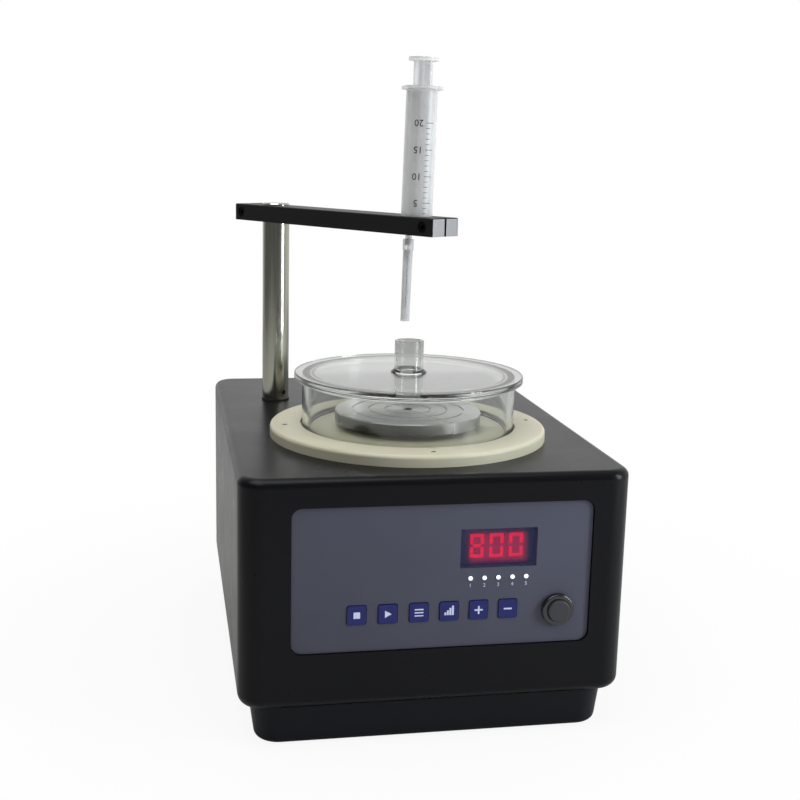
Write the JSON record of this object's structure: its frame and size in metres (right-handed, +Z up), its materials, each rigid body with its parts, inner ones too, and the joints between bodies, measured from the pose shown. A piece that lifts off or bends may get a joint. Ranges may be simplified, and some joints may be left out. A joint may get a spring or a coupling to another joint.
{
  "type": "spin coater",
  "caption": "Bench-top spin coater: vacuum chuck in a clear lidded bowl, keypad and display in front, and a post-mounted arm holding a dispensing syringe.",
  "frame": {"origin": "under the middle of the overall box, on the plane the feet stand on", "axes": "+Z up, +X to the operator's right, -Y towards the operator, where the keypad is"},
  "size_m": [0.22, 0.3174, 0.3802],
  "materials": {
    "case_paint": "satin near-black",
    "plinth_paint": "satin near-black",
    "foot_rubber": "matte",
    "screw_black": "blackened",
    "steel_screw": "machined",
    "ring_cream": "smooth cream polymer",
    "gasket": "matte",
    "clear_acrylic": "clear polished",
    "chuck_aluminium": "turned",
    "shaft_steel": "ground",
    "bearing_steel": "ground",
    "motor_aluminium": "machined",
    "motor_laminations": "stacked sheet",
    "copper_coils": "enamelled copper",
    "motor_black": "satin",
    "hose_silicone": "soft translucent",
    "port_nickel": "polished",
    "black_plastic": "moulded",
    "contact_brass": "plated",
    "supply_board": "board with parts",
    "panel_slate": "matte slate",
    "window_blue": "tinted",
    "module_black": "moulded",
    "digit_red": "lit",
    "led_white": "lit",
    "key_blue": "moulded",
    "control_green": "board",
    "button_black": "moulded gloss",
    "button_grey": "moulded",
    "nut_nickel": "plated",
    "rod_stainless": "polished stainless",
    "arm_black": "black anodised",
    "syringe_clear": "translucent moulded",
    "sheath_clear": "clear moulded",
    "stopper_rubber": "moulded"
  },
  "bodies": {
    "housing": {"plinth": "plinth_paint", "upper_case": "case_paint", "feet": "foot_rubber", "foot_screws": "steel_screw", "case_screws": "steel_screw", "deck_ring": "ring_cream", "ring_screws": "screw_black", "bowl_gasket": "gasket", "bearing_outer_rings": "bearing_steel", "bearing_balls": "bearing_steel", "bearing_housing": "motor_aluminium", "shaft_seal": "gasket", "motor_screws": "steel_screw", "motor_can": "motor_black", "motor_stator": "motor_laminations", "motor_windings": "copper_coils", "motor_end_cap": "motor_aluminium", "rotary_union": "motor_aluminium", "vacuum_hose": "hose_silicone", "vacuum_port": "port_nickel", "port_nut": "port_nickel", "power_inlet": "black_plastic", "inlet_pins": "contact_brass", "inlet_screws": "steel_screw", "power_supply": "supply_board", "panel_plate": "panel_slate", "display_window": "window_blue", "display_module": "module_black", "display_digits": "digit_red", "indicator_leds": "led_white", "control_board": "control_green", "board_standoffs": "contact_brass", "tact_switches": "black_plastic", "button_bezel": "button_black", "button_nut": "nut_nickel", "rod_washer": "foot_rubber"},
    "spindle": {"chuck": "chuck_aluminium", "shaft": "shaft_steel", "bearing_inner_rings": "bearing_steel", "motor_rotor": "motor_laminations"},
    "bowl": {"splash_bowl": "clear_acrylic"},
    "lid": {"lid": "clear_acrylic", "lid_chimney": "clear_acrylic"},
    "post": {"support_rod": "rod_stainless", "rod_nut": "steel_screw"},
    "arm": {"arm_beam": "arm_black", "arm_screws": "steel_screw", "syringe_barrel": "syringe_clear", "needle_hub": "sheath_clear", "cannula": "shaft_steel"},
    "plunger": {"plunger_rod": "syringe_clear", "stopper": "stopper_rubber"},
    "sheath": {"needle_sheath": "sheath_clear"},
    "power_button": {"power_button": "button_grey"},
    "key_1": {"key_1": "key_blue"},
    "key_2": {"key_2": "key_blue"},
    "key_3": {"key_3": "key_blue"},
    "key_4": {"key_4": "key_blue"},
    "key_5": {"key_5": "key_blue"},
    "key_6": {"key_6": "key_blue"}
  },
  "joints": [
    {"name": "spindle_spin", "type": "hinge", "parent": "housing", "child": "spindle", "pos_m": [0, -0.05275, 0.1], "axis": [0, 0, 1], "continuous": true},
    {"name": "bowl_lift", "type": "slide", "parent": "housing", "child": "bowl", "axis": [0, 0, 1], "range_m": [0, 0.03]},
    {"name": "lid_lift", "type": "slide", "parent": "bowl", "child": "lid", "axis": [0, 0, 1], "range_m": [0, 0.05]},
    {"name": "arm_swing", "type": "hinge", "parent": "housing", "child": "post", "pos_m": [-0.0715, 0.05895, 0.2], "axis": [0, 0, 1], "range_deg": [-90, 90]},
    {"name": "arm_height", "type": "slide", "parent": "post", "child": "arm", "axis": [0, 0, 1], "range_m": [-0.035, 0.003]},
    {"name": "plunger_slide", "type": "slide", "parent": "arm", "child": "plunger", "axis": [0.0209, 0, 0.9998], "range_m": [-0.0015, 0.05]},
    {"name": "sheath_pull", "type": "slide", "parent": "arm", "child": "sheath", "axis": [-0.0209, 0, -0.9998], "range_m": [0, 0.038]},
    {"name": "power_press", "type": "slide", "parent": "housing", "child": "power_button", "axis": [0, 1, 0], "range_m": [0, 0.002], "stiffness_N_per_m": 600},
    {"name": "key_press_1", "type": "slide", "parent": "housing", "child": "key_1", "axis": [0, 1, 0], "range_m": [0, 0.0008], "stiffness_N_per_m": 800},
    {"name": "key_press_2", "type": "slide", "parent": "housing", "child": "key_2", "axis": [0, 1, 0], "range_m": [0, 0.0008], "stiffness_N_per_m": 800},
    {"name": "key_press_3", "type": "slide", "parent": "housing", "child": "key_3", "axis": [0, 1, 0], "range_m": [0, 0.0008], "stiffness_N_per_m": 800},
    {"name": "key_press_4", "type": "slide", "parent": "housing", "child": "key_4", "axis": [0, 1, 0], "range_m": [0, 0.0008], "stiffness_N_per_m": 800},
    {"name": "key_press_5", "type": "slide", "parent": "housing", "child": "key_5", "axis": [0, 1, 0], "range_m": [0, 0.0008], "stiffness_N_per_m": 800},
    {"name": "key_press_6", "type": "slide", "parent": "housing", "child": "key_6", "axis": [0, 1, 0], "range_m": [0, 0.0008], "stiffness_N_per_m": 800}
  ]
}
